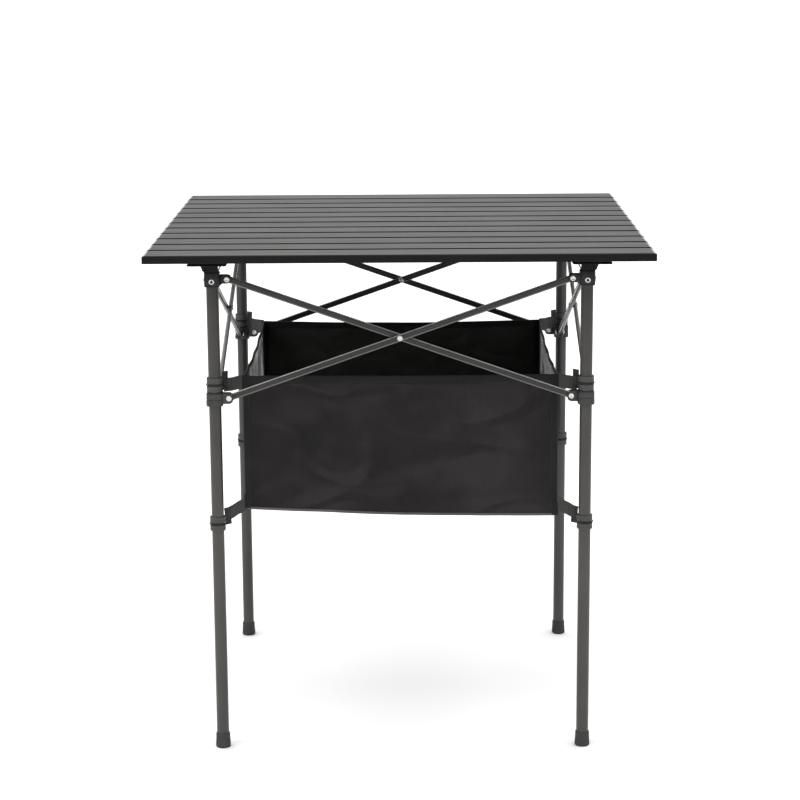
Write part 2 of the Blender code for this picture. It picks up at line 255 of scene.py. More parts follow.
M = {
    "slat": brushed("anodised_top", (0.104, 0.104, 0.102), 0.40, 1.0, 0.22),
    "slat_edge": metal_coat("anodised_edge", (0.006, 0.006, 0.006), 0.5, 0.0, spec=0.10),
    # painted shade: near-black material for the slats' chamfers and top strips beside each gap, standing in for the
    # shade in the gaps
    "slat_gap": metal_coat("painted_gap_shade", (0.002, 0.002, 0.002), 0.6, 0.0, spec=0.0),
    "cut": brushed("bare_cut", (0.80, 0.80, 0.79), 0.3),
    "cut_end": brushed("sawn_end", (0.22, 0.22, 0.215), 0.45),
    "tube": metal_coat("coated_tube", (0.055, 0.053, 0.049), 0.36, 0.4, (1, 1, 0.15), spec=0.4),
    "bar": metal_coat("coated_bar", (0.036, 0.035, 0.034), 0.34, 0.6, (0.2, 1, 1), spec=0.3),
    # painted highlight: pale material for the bars' upper rounded edges, a stripe standing in for a highlight
    "bar_painted_highlight": metal_coat("bar_painted_highlight", (0.46, 0.455, 0.445), 0.3, 0.25),
    # painted reflection: lighter metal for the bars' lower rounded edges, standing in for the floor's reflection
    "bar_painted_floor_reflection": metal_coat("bar_painted_floor_reflection", (0.135, 0.132, 0.126), 0.36, 0.9, (0.2, 1, 1)),
    "bracket": plastic("bracket_plastic", (0.018, 0.018, 0.0175), 0.45, 0.25),
    "cap": plastic("cap_plastic", (0.006, 0.006, 0.006), 0.5, 0.12),
    "slider": plastic("slider_plastic", (0.030, 0.030, 0.029), 0.45, 0.3),
    "collar": plastic("collar_plastic", (0.047, 0.047, 0.045), 0.5, 0.3),
    "foot": plastic("foot_rubber", (0.036, 0.036, 0.035), 0.7),
    "buckle": plastic("buckle_plastic", (0.018, 0.018, 0.0175), 0.45, 0.25),
    "rivet": brushed("rivet_steel", (0.58, 0.58, 0.57), 0.25),
    # painted shade: near-black plastic for the discs that close the ring rivets' holes, standing in for the shade
    # inside them
    "dark": plastic("hole_dark", (0.004, 0.004, 0.004), 0.7),
    "cord": plastic("cord_sheath", (0.016, 0.016, 0.016), 0.85),
    "web": weave("webbing", (0.044, 0.044, 0.042), 0, 2, 0.0018, 0.8, 0.00025),
    "cloth_x": weave("oxford_front", (0.0100, 0.0087, 0.0089), 0, 2, 0.0011, 0.62),
    "cloth_in": weave("oxford_back", (0.020, 0.019, 0.018), 0, 2, 0.0011, 0.62),
    "cloth_y": weave("oxford_floor", (0.0085, 0.0075, 0.0077), 0, 1, 0.0011, 0.62),
    "tape_x": weave("tape_front", (0.0125, 0.0118, 0.0118), 0, 2, 0.0016, 0.75, 0.00022),
    "tape_y": weave("tape_side", (0.040, 0.040, 0.039), 1, 2, 0.0016, 0.75, 0.00022),
    "piping": weave("piping_cloth", (0.075, 0.074, 0.072), 0, 2, 0.0012, 0.8),
    "thread": plastic("thread", (0.035, 0.035, 0.034), 0.7),
    "net": net_material("side_net", (0.070, 0.070, 0.068), 1, 2, 0.0052, 0.0024),
}


# ================= mesh helpers =================
def mesh_obj(name, bm, mats, smooth=40, sharp=True):
    bmesh.ops.remove_doubles(bm, verts=bm.verts, dist=1e-7)
    bmesh.ops.recalc_face_normals(bm, faces=bm.faces)
    me = bpy.data.meshes.new(name)
    bm.to_mesh(me)
    bm.free()
    for k in mats:
        me.materials.append(M[k].m)
    for p in me.polygons:
        p.use_smooth = True
    if sharp:
        me.set_sharp_from_angle(angle=math.radians(smooth))
    o = bpy.data.objects.new(name, me)
    scene.collection.objects.link(o)
    return o


def bevel(o, width=0.0006, segs=2, angle=35):
    m = o.modifiers.new("bevel", "BEVEL")
    m.width, m.segments, m.limit_method, m.angle_limit = width, segs, "ANGLE", math.radians(angle)
    m.harden_normals = True
    return o


def baked(o):
    """modifiers applied, so the final mesh is plain"""
    dg = bpy.context.evaluated_depsgraph_get()
    me = bpy.data.meshes.new_from_object(o.evaluated_get(dg))
    o.modifiers.clear()
    o.data = me
    return o


def sweep(bm, ring_pts, close=True, mat=0):
    """faces between successive rings of points; returns nothing"""
    rings = [[bm.verts.new(p) for p in ring] for ring in ring_pts]
    n = len(rings[0])
    for a, b in zip(rings, rings[1:]):
        for i in range(n if close else n - 1):
            j = (i + 1) % n
            f = bm.faces.new((a[i], a[j], b[j], b[i]))
            f.material_index = mat if isinstance(mat, int) else mat(i)
    return rings


def capped(bm, rings, mat=0):
    for r, rev in ((rings[0], True), (rings[-1], False)):
        f = bm.faces.new(r[::-1] if rev else r)
        f.material_index = mat


def circ(r, n, z=0.0, c=(0, 0)):
    return [Vector((c[0] + r * math.cos(2 * math.pi * i / n), c[1] + r * math.sin(2 * math.pi * i / n), z)) for i in range(n)]


def lathe(bm, profile, n=48, mat=0, loop=False, M4=None):
    rings = []
    for r, z in profile:
        pts = circ(max(r, 1e-6), n, z)
        if M4 is not None:
            pts = [M4 @ p for p in pts]
        rings.append(pts)
    if loop:
        rings.append(rings[0])
    vs = sweep(bm, rings, True, mat)
    if not loop:
        for r, rev in ((vs[0], True), (vs[-1], False)):
            if profile[0 if rev else -1][0] > 1e-5:
                bm.faces.new(r[::-1] if rev else r).material_index = mat
    return bm


def rrect(hx, hy, r, n=4, c=(0, 0)):
    out = []
    for q, (sx, sy) in enumerate(((1, 1), (-1, 1), (-1, -1), (1, -1))):
        for i in range(n + 1):
            a = math.pi / 2 * (q + i / n)
            out.append((c[0] + sx * (hx - r) + r * math.cos(a), c[1] + sy * (hy - r) + r * math.sin(a)))
    return out


def prism(bm, pts, lo, hi, axis, mat=0, edge=0.0):
    """closed outline pushed along an axis, with a small rounded edge"""
    n = len(pts)
    cx, cy = sum(p[0] for p in pts) / n, sum(p[1] for p in pts) / n

    def at(p, h, d):
        v = Vector((p[0] - cx, p[1] - cy))
        k = max(0.0, 1 - d / max(v.length, 1e-9))
        a, b = cx + v.x * k, cy + v.y * k
        return Vector({"x": (h, a, b), "y": (a, h, b), "z": (a, b, h)}[axis])

    if edge:
        rows = [(lo, edge), (lo + edge * 0.3, edge * 0.3), (lo + edge, 0), (hi - edge, 0), (hi - edge * 0.3, edge * 0.3), (hi, edge)]
    else:
        rows = [(lo, 0), (hi, 0)]
    rings = sweep(bm, [[at(p, h, d) for p in pts] for h, d in rows], True, mat)
    capped(bm, rings, mat)
    return bm


def tube_path(bm, path, r, n=8, mat=0, closed=False, flat=None):
    """round tube along points"""
    rings = []
    m = len(path)
    up = Vector((0.137, 0.211, 0.967)).normalized()
    for i, p in enumerate(path):
        a = path[(i - 1) % m] if closed else path[max(i - 1, 0)]
        b = path[(i + 1) % m] if closed else path[min(i + 1, m - 1)]
        t = (b - a).normalized()
        s = t.cross(up).normalized()
        w = s.cross(t).normalized()
        rings.append([p + r * (math.cos(q) * s + math.sin(q) * w) for q in (2 * math.pi * j / n for j in range(n))])
    if closed:
        rings.append(rings[0])
        sweep(bm, rings, True, mat)
    else:
        capped(bm, sweep(bm, rings, True, mat), mat)
    return bm


def corner_matrix(k):
    a = Matrix.Rotation(math.pi / 2 * k, 4, "Z")
    return a @ Matrix.Translation((-LEG, -LEG, 0))


def at_corners(proto, kind, body, node, extra=()):
    """one object per corner, sharing a mesh; each rides the corner's own body"""
    for k, c in enumerate(CORNERS):
        o = proto if k == 0 else bpy.data.objects.new(kind, proto.data)
        if k:
            scene.collection.objects.link(o)
            for m in proto.modifiers:
                q = o.modifiers.new(m.name, m.type)
                for p in m.bl_rna.properties:
                    if not p.is_readonly and p.identifier not in ("name",):
                        try:
                            setattr(q, p.identifier, getattr(m, p.identifier))
                        except Exception:
                            pass
        o.name = "%s_%s" % (kind, c) if not kind.endswith("_") else kind + c
        o.matrix_world = corner_matrix(k)
        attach(o, body % c)
        if node:
            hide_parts(*[x % c for x in ([node] if isinstance(node, str) else node)])


def rivet_bm(bm, M4, r=0.0041, h=0.0012, mat=0, hollow=False):
    """domed rivet head with a rolled lip; M4 takes +Z out of the surface"""
    if hollow:
        prof = [(r * 0.42, -0.0005), (r * 0.42, h * 0.35), (r * 0.55, h * 0.85), (r * 0.72, h), (r * 0.9, h * 0.8), (r, h * 0.3), (r, -0.0002)]
    else:
        prof = [(0, h * 0.62), (r * 0.2, h * 0.60), (r * 0.34, h * 0.45), (r * 0.46, h * 0.62), (r * 0.62, h * 0.98), (r * 0.8, h * 0.9), (r * 0.93, h * 0.6), (r, h * 0.2), (r, -0.0002)]
    lathe(bm, prof, 28, mat, M4=M4)
    return bm


# ================= legs, feet =================
bm = bmesh.new()
lathe(bm, [(0.0076, 0.0042), (0.0084, 0.0040), (0.0087, 0.0046), (0.0088, 0.0056), (0.0088, 0.6990), (0.0085, 0.6998), (0.0076, 0.6998)], 48, loop=True)
at_corners(mesh_obj("tube", bm, ["tube"]), "tube", "leg_%s", "leg_tube_%s")

bm = bmesh.new()
prof = [(0.0, 0.0006), (0.0078, 0.0004), (0.0086, 0.0), (0.0098, 0.0002), (0.0106, 0.0010), (0.0109, 0.0026), (0.0108, 0.0048)]
for i in range(3):
    z = 0.0062 + 0.0040 * i
    r = 0.0107 - 0.00022 * i
    prof += [(r, z), (r - 0.00025, z + 0.0003), (r - 0.00025, z + 0.0007), (r - 0.00008, z + 0.0010)]
prof += [(0.0101, 0.0195), (0.0099, 0.0212), (0.0095, 0.0219), (0.0091, 0.0219), (0.0091, 0.0037), (0.0, 0.0037)]
lathe(bm, prof, 48)
at_corners(mesh_obj("foot_cap", bm, ["foot"]), "rubber_foot", "leg_%s", "foot_%s")


# ================= corner brackets and sliders =================
def ear_bm(bm, slot, z, half, reach=0.0265, swap=False, mat=0, x0=0.0095):
    gap, t = BAR_T / 2 + 0.0003, 0.0026
    for s in (-1, 1):
        lo = slot + s * gap
        lo, hi = sorted((lo, lo + s * t))
        pts = [(x0, z - half), (x0, z + half)]
        rr = min(half, 0.0060)
        cx = reach - rr
        for i in range(9):
            a = math.pi / 2 - math.pi * i / 8
            pts.append((cx + rr * math.cos(a), z + (half - rr) * (1 if a > 0 else -1) * (0 if half <= 0.0061 else 1) + rr * math.sin(a)))
        sub = bmesh.new()
        # a plate with a round hole: outline and hole share one count of points
        n = 32
        hole = [(PIN_IN + 0.0026 * math.cos(2 * math.pi * i / n), z + 0.0026 * math.sin(2 * math.pi * i / n)) for i in range(n)]
        outl = []
        for i in range(n):
            a = 2 * math.pi * i / n
            d = Vector((math.cos(a), math.sin(a)))
            best = None
            for q in range(len(pts)):
                p1, p2 = Vector(pts[q]), Vector(pts[(q + 1) % len(pts)])
                e = p2 - p1
                den = d.x * e.y - d.y * e.x
                if abs(den) < 1e-12:
                    continue
                w = p1 - Vector((PIN_IN, z))
                tt = (w.x * e.y - w.y * e.x) / den
                uu = (w.x * d.y - w.y * d.x) / den
                if tt > 0 and -1e-6 <= uu <= 1 + 1e-6 and (best is None or tt < best):
                    best = tt
            outl.append((PIN_IN + d.x * best, z + d.y * best))
        e = 0.0004

        def put(p, h, k=1.0):
            x = PIN_IN + (p[0] - PIN_IN) * k
            zz = z + (p[1] - z) * k
            return Vector((h, x, zz)) if swap else Vector((x, h, zz))

        ks = 0.94
        rows = [[put(p, lo) for p in hole], [put(p, lo, ks) for p in outl], [put(p, lo + e) for p in outl],
                [put(p, hi - e) for p in outl], [put(p, hi, ks) for p in outl], [put(p, hi) for p in hole]]
        rows.append(rows[0])
        sweep(sub, rows, True, mat)
        me = bpy.data.meshes.new("t")
        sub.to_mesh(me)
        sub.free()
        bm.from_mesh(me)
        bpy.data.meshes.remove(me)


def box_ring(bm, h, r, z0, z1, bore, mat=0, seam=None, crest=0.0):
    """rounded square sleeve with a round bore, edges rolled over, an optional seam line round it"""
    n = 8
    def out(hh, z):
        pts = []
        for q, (sx, sy) in enumerate(((1, 1), (-1, 1), (-1, -1), (1, -1))):
            for i in range(n):
                a = math.pi / 2 * (q + i / (n - 1))
                pts.append(Vector((sx * (hh - r) + r * math.cos(a), sy * (hh - r) + r * math.sin(a), z)))
        return pts
    ref = out(h, 0)
    ang = [math.atan2(p.y, p.x) for p in ref]
    def inn(rr, z):
        return [Vector((rr * math.cos(a), rr * math.sin(a), z)) for a in ang]
    e = 0.0009
    rows = [inn(bore, z0 + 0.0003), inn(bore + 0.0003, z0), out(h - e, z0), out(h - e * 0.3, z0 + e * 0.3), out(h, z0 + e)]
    if seam:
        for s in seam:
            rows += [out(h, s - 0.0005), out(h - 0.0006, s - 0.0002), out(h - 0.0006, s + 0.0002), out(h, s + 0.0005)]
    rows += [out(h, z1 - e), out(h - e * 0.3, z1 - e * 0.3), out(h - e, z1), inn(bore + 0.0003, z1), inn(bore, z1 - 0.0003)]
    rows.append(rows[0])
    sweep(bm, rows, True, mat)


def bracket():
    bm = bmesh.new()
    box_ring(bm, 0.0107, 0.0036, 0.6812, 0.7016, 0.0090, seam=(0.6830,))
    ear_bm(bm, SIDE, ZT, 0.0060)
    ear_bm(bm, -SIDE, ZT, 0.0060, swap=True)
    # webs that stiffen the ears, and raised panels on the two outer faces
    for sx, swap in ((SIDE, False), (-SIDE, True)):
        for s in (-1, 1):
            yy = sx + s * (BAR_T / 2 + 0.0016)
            lo, hi = yy - 0.0008, yy + 0.0008
            pts = [(0.0100, ZT - 0.0098), (0.0100, ZT - 0.0055), (0.0150, ZT - 0.0055)]
            sub = bmesh.new()
            prism(sub, pts, lo, hi, "y")
            if swap:
                bmesh.ops.transform(sub, matrix=Matrix(((0, 1, 0, 0), (1, 0, 0, 0), (0, 0, 1, 0), (0, 0, 0, 1))), verts=sub.verts)
            me = bpy.data.meshes.new("t"); sub.to_mesh(me); sub.free(); bm.from_mesh(me); bpy.data.meshes.remove(me)
    for ax in ("x", "y"):
        prism(bm, [(p[0], p[1]) for p in rrect(0.0060, 0.0072, 0.0016, 3, (0, 0.6916))], -0.0110, -0.0104, ax, edge=0.0003)
    return mesh_obj("bracket_body", bm, ["bracket"], 35)


at_corners(bracket(), "corner_bracket", "leg_%s", "bracket_%s")


def slider():
    bm = bmesh.new()
    box_ring(bm, 0.0116, 0.0046, 0.5108, 0.5300, 0.0091, seam=(0.5204, 0.5285))
    ear_bm(bm, -SIDE, ZL - 0.0003, 0.0076)
    ear_bm(bm, SIDE, ZL - 0.0003, 0.0076, swap=True)
    for ax in ("x", "y"):
        for s in (-1, 1):
            prism(bm, rrect(0.0008, 0.0034, 0.0006, 2, (s * 0.0060, 0.5158)), -0.0119, -0.0113, ax, edge=0.0002)
    return mesh_obj("slider_body", bm, ["slider"], 35)


at_corners(slider(), "leg_slider", "slider_body_%s", "slider_%s")

# ring rivets on the two outer faces of each bracket
bm = bmesh.new()
for swap in (False, True):
    face = Matrix.Translation((0, -0.0111, 0.6893)) @ Matrix.Rotation(math.pi / 2, 4, "X")
    if swap:
        face = Matrix(((0, 1, 0, 0), (1, 0, 0, 0), (0, 0, 1, 0), (0, 0, 0, 1))) @ face
    rivet_bm(bm, face, 0.0040, 0.0011, 0, hollow=True)
    # painted shade: a near-black disc closes the rivet's hole, standing in for the shade inside it
    lathe(bm, [(0, 0.0001), (0.0018, 0.0001), (0.0018, -0.0003)], 20, 1, M4=face)
at_corners(mesh_obj("ring_rivets", bm, ["rivet", "dark"]), "ring_rivets", "leg_%s", None)

# small screw heads in the sliders, beside the seam
bm = bmesh.new()
for swap in (False, True):
    face = Matrix.Translation((0.0088, -0.0113, 0.0)) @ Matrix.Rotation(math.pi / 2, 4, "X")
    for z in (0.5180, 0.5245):
        f = Matrix.Translation((0, 0, z)) @ face
        if swap:
            f = Matrix(((0, 1, 0, 0), (1, 0, 0, 0), (0, 0, 1, 0), (0, 0, 0, 1))) @ f
        lathe(bm, [(0, 0.0004), (0.0008, 0.0003), (0.0011, 0.0001), (0.0011, -0.0006)], 16, 0, M4=f)
at_corners(mesh_obj("slider_screws", bm, ["buckle"]), "slider_screws", "slider_body_%s", None)


# ================= caps =================
def turned(bm, sub, swap):
    """add a small shape to a mesh, as it is or mirrored across the corner's diagonal"""
    if swap:
        bmesh.ops.transform(sub, matrix=Matrix(((0, 1, 0, 0), (1, 0, 0, 0), (0, 0, 1, 0), (0, 0, 0, 1))), verts=sub.verts)
    me = bpy.data.meshes.new("t")
    sub.to_mesh(me)
    sub.free()
    bm.from_mesh(me)
    bpy.data.meshes.remove(me)


def cap():
    bm = bmesh.new()
    off = -0.0050
    prism(bm, rrect(0.0245, 0.0245, 0.003, 3, (off, off)), 0.7157, 0.7256, "z", edge=0.0006)
    prism(bm, rrect(0.0275, 0.0275, 0.004, 4, (off, off)), 0.7141, 0.7159, "z", edge=0.0006)
    # core over the tube, flaring a little under the flange
    lo = rrect(0.0084, 0.0084, 0.003, 4)
    hi = rrect(0.0090, 0.0090, 0.003, 4, (-0.0010, -0.0010))
    rings = sweep(bm, [[Vector((x, y, 0.7024)) for x, y in lo], [Vector((x, y, 0.7050)) for x, y in lo], [Vector((x, y, 0.7145)) for x, y in hi]], True, 0)
    capped(bm, rings)
    for swap in (False, True):
        # skirt on each outer face, with a lip at its foot
        sub = bmesh.new()
        pts0 = [(-0.0102, 0.7024), (0.0086, 0.7024), (0.0086, 0.7145), (-0.0166, 0.7145), (-0.0128, 0.7060), (-0.0134, 0.7046), (-0.0106, 0.7040)]
        prism(sub, pts0, -0.0112, -0.0088, "y", edge=0.0003)
        turned(bm, sub, swap)
        # braces leaning out to the flange on the inner side, open below them
        for y in (-0.0070, 0.0, 0.0070):
            sub = bmesh.new()
            prism(sub, [(0.0082, 0.7036), (0.0096, 0.7030), (0.0150, 0.7139), (0.0150, 0.7145), (0.0132, 0.7145)], y - 0.0008, y + 0.0008, "y")
            turned(bm, sub, swap)
        # gussets behind the skirt
        for y in (-0.0040, 0.0040):
            sub = bmesh.new()
            prism(sub, [(-0.0082, 0.7036), (-0.0162, 0.7141), (-0.0162, 0.7145), (-0.0082, 0.7145)], y - 0.0008, y + 0.0008, "y")
            turned(bm, sub, swap)
    lathe(bm, [(0.0, 0.6852), (0.0066, 0.6852), (0.0072, 0.6862), (0.0072, 0.7030), (0.0, 0.7030)], 32)
    return mesh_obj("cap_body", bm, ["cap"], 35)


at_corners(cap(), "top_cap", "leg_%s", "cap_%s")


# ================= collars, cord rings, buckles, webbing =================
for level, zc in COLLARS.items():
    b = 0.0091
    h, g = 0.0104, 0.0019
    prof = [(b, -h + 0.0003), (b + 0.0003, -h), (0.0104, -h), (0.0111, -h + 0.0004), (0.0113, -h + 0.0012), (0.0113, -0.0064),
            (0.0110, -0.0060), (0.0110, -0.0056), (0.0113, -0.0052), (0.0113, -g - 0.0004), (0.0111, -g), (0.0101, -g), (0.0100, -g + 0.0003),
            (0.0100, g - 0.0003), (0.0101, g), (0.0111, g), (0.0113, g + 0.0004), (0.0113, 0.0052), (0.0110, 0.0056), (0.0110, 0.0060), (0.0113, 0.0064),
            (0.0113, h - 0.0012), (0.0111, h - 0.0004), (0.0104, h), (b + 0.0003, h), (b, h - 0.0003)]
    bm = bmesh.new()
    lathe(bm, [(r, z + zc) for r, z in prof], 48, loop=True)
    at_corners(mesh_obj("collar_" + level, bm, ["collar"]), "leg_collar_" + level, "collars_%s", "collar_" + level + "_%s")

SPANS = {"upper": ((-0.0102, 0.0160), (-0.0135, 0.0065)), "lower": ((-0.0054, 0.0190), (0.0030, 0.0230))}
out_dir = Vector((1, 1, 0)).normalized()
across = Vector((-1, 1, 0)).normalized()
for level, zc in COLLARS.items():
    (b0, b1), (w0, w1) = SPANS[level]
    # elastic loop in the groove, drawn out to a knot behind the buckle
    bm = bmesh.new()
    path = []
    for i in range(40):
        a = math.pi / 4 + math.radians(14) + (2 * math.pi - math.radians(28)) * i / 39
        path.append(Vector((0.0114 * math.cos(a), 0.0114 * math.sin(a), zc + 0.0003 * math.sin(3 * a))))
    tip = out_dir * 0.0150 + Vector((0, 0, zc + (0.0018 if level == "lower" else 0.0008)))
    path = [tip + across * 0.0009] + [out_dir * 0.0128 + across * 0.0016 + Vector((0, 0, zc + 0.0006))] + path
    path += [out_dir * 0.0128 - across * 0.0016 + Vector((0, 0, zc + 0.0006)), tip - across * 0.0009]
    tube_path(bm, path, 0.00095, 8)
    at_corners(mesh_obj("loop_" + level, bm, ["cord"], 180, False), "collar_loop_" + level, "collars_%s", None)
    # ladder buckle: frame with three bars, leaning a little
    bm = bmesh.new()
    zm, hh = zc + (b0 + b1) / 2, (b1 - b0) / 2
    lean = 0.0006 if level == "upper" else -0.0022
    def bar3(z, d0, d1, r):
        a = out_dir * d0 + Vector((0, 0, z))
        c = out_dir * d1 + Vector((0, 0, z))
        tube_path(bm, [a, a.lerp(c, 0.5), c], r, 10)
    def post(d, z0, z1, r, k=6):
        tube_path(bm, [out_dir * (d + lean * (i / k - 0.5)) + Vector((0, 0, z0 + (z1 - z0) * i / k)) for i in range(k + 1)], r, 10)
    for d in (0.0152, 0.0190, 0.0226):
        post(d, zm - hh + 0.0010, zm + hh - 0.0010, 0.0016)
    for s in (-1, 1):
        zz = zm + s * (hh - 0.0012)
        dd = lean * s * 0.5
        prism_pts = [(0.0142 + dd, zz - 0.0014), (0.0236 + dd, zz - 0.0014), (0.0240 + dd, zz), (0.0234 + dd, zz + 0.0014), (0.0144 + dd, zz + 0.0014), (0.0138 + dd, zz)]
        sub = bmesh.new()
        prism(sub, prism_pts, -0.0015, 0.0015, "y", edge=0.0004)
        bmesh.ops.transform(sub, matrix=Matrix.Rotation(math.pi / 4, 4, "Z"), verts=sub.verts)
        me = bpy.data.meshes.new("t"); sub.to_mesh(me); sub.free(); bm.from_mesh(me); bpy.data.meshes.remove(me)
    at_corners(mesh_obj("buckle_" + level, bm, ["buckle"]), "strap_buckle_" + level, "collars_%s", None)
    # webbing: doubled round the buckle's bars and sewn, then on to the bag's corner
    bm = bmesh.new()
    reach = math.hypot(LEG - BAG, LEG - BAG) + 0.0008
    rows = []
    steps = 22
    for i in range(steps + 1):
        t = i / steps
        d = 0.0172 + (reach - 0.0172) * t
        drop = (0.0 if level == "upper" else -0.0040 * (1 - t) + 0.0055 * t)
        wob = 0.0006 * math.sin(3.1 * t * math.pi + (1 if level == "upper" else 2)) * math.sin(math.pi * t)
        rise = (-0.0006 * math.sin(math.pi * t)) if level == "upper" else 0
        thick = 0.0011 if t > 0.42 else 0.0021
        half = (w1 - w0) / 2 * (0.96 + 0.04 * t)
        zmid = zc + (w0 + w1) / 2 + drop + rise
        ring = []
        for u, v in ((-1, -1), (-1, 0), (-1, 1), (1, 1), (1, 0), (1, -1)):
            ring.append(out_dir * d + across * (wob + u * thick / 2 * (0.55 if abs(v) == 1 else 1)) + Vector((0, 0, zmid + v * half)))
        rows.append(ring)
    vs = sweep(bm, rows, True)
    capped(bm, vs)
    # bar tack stitches
    for s in (-1, 1):
        for i in range(7):
            zz = zc + (w0 + w1) / 2 + (w1 - w0) * (i - 3) / 8.2 + (-0.002 if level == "lower" else 0)
            a = out_dir * 0.0285 + across * (s * 0.00128) + Vector((0, 0, zz))
            tube_path(bm, [a - out_dir * 0.0012, a, a + out_dir * 0.0012], 0.00025, 5, 1)
    at_corners(mesh_obj("webbing_" + level, bm, ["web", "thread"], 60), "strap_web_" + level, "collars_%s", "strap_" + level + "_%s")


# ================= scissor bars =================
def bar_mesh(kind):
    bm = bmesh.new()
    half, r, t = BAR_L / 2, BAR_W / 2, BAR_T / 2
    n = 12
    def outline(k):
        pts = []
        for i in range(n + 1):
            a = math.pi * (i / n - 0.5)
            pts.append((half + r * k * math.cos(a), r * k * math.sin(a)))
        for i in range(n + 1):
            a = math.pi * (i / n + 0.5)
            pts.append((-half + r * k * math.cos(a), r * k * math.sin(a)))
        return pts
    rows = [(-t + 0.0004, 0.46), (-t + 0.0004, 0.50), (-t, 0.56)]
    rows += [(-t + 0.0021 * (1 - math.cos(a)), 0.62 + 0.38 * math.sin(a)) for a in (0.0, 0.3, 0.6, 0.9, 1.2, 1.45)]
    rows = rows + [(-y, k) for y, k in reversed(rows)]
    rings = [[bm.verts.new((x, y, z)) for x, z in outline(k)] for y, k in rows]
    m = len(rings[0])
    for q, (a, b) in enumerate(zip(rings, rings[1:])):
        for i in range(m):
            j = (i + 1) % m
            f = bm.faces.new((a[i], a[j], b[j], b[i]))
            # painted highlight and reflection: faces on the upper rounded edges take the pale stripe material, faces on
            # the lower rounded edges the lighter metal
            up = rings[0][i].co.z + rings[0][j].co.z > 0
            if up and 5 <= q <= 11:
                f.material_index = 1
            elif not up and (q <= 7 and q >= 2 or 9 <= q <= 14):
                f.material_index = 2
    bm.faces.new(rings[0][::-1])
    bm.faces.new(rings[-1])
    o = mesh_obj("bar_" + kind, bm, ["bar", "bar_painted_highlight", "bar_painted_floor_reflection"], 30)
    return o


def bar_rivets(kind):
    bm = bmesh.new()
    reach = BAR_T / 2 + 0.0003 + 0.0026 + 0.0002
    for x in (-BAR_L / 2, BAR_L / 2):
        for s in (-1, 1):
            M4 = Matrix.Translation((x, s * reach, 0)) @ Matrix.Rotation(-s * math.pi / 2, 4, "X")
            rivet_bm(bm, M4)
        lathe(bm, [(0.0, -reach), (0.0020, -reach), (0.0020, reach), (0.0, reach)], 20, 0, M4=Matrix.Translation((x, 0, 0)) @ Matrix.Rotation(-math.pi / 2, 4, "X"))
    if kind == "a":
        lo, hi = -(2 * SIDE + BAR_T / 2 + 0.0001), BAR_T / 2 + 0.0001
        rivet_bm(bm, Matrix.Translation((0, lo, 0)) @ Matrix.Rotation(math.pi / 2, 4, "X"))
        rivet_bm(bm, Matrix.Translation((0, hi, 0)) @ Matrix.Rotation(-math.pi / 2, 4, "X"))
        lathe(bm, [(0.0, lo), (0.0020, lo), (0.0020, hi), (0.0, hi)], 20, 0, M4=Matrix.Rotation(-math.pi / 2, 4, "X"))
    return mesh_obj("rivets_" + kind, bm, ["rivet"], 50)


bars = {k: (bar_mesh(k), bar_rivets(k)) for k in "ab"}
for k, side in enumerate(SIDES):
    turn = Matrix.Rotation(math.pi / 2 * k, 4, "Z")
    for tag, tilt, y in (("a", REST, -LEG + SIDE), ("b", -REST, -LEG - SIDE)):
        place = turn @ Matrix.Translation((0, y, MID)) @ Matrix.Rotation(tilt, 4, "Y")
        for src, name in zip(bars[tag], ("scissor_bar", "bar_rivets")):
            o = src if k == 0 else bpy.data.objects.new("x", src.data)
            if k:
                scene.collection.objects.link(o)
            o.name = "%s_%s_%s" % (name, side, tag)
            o.matrix_world = place
            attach(o, "link_%s_%s" % (side, tag))
            if name == "scissor_bar":
                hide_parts("bar_%s_%s" % (side, tag))


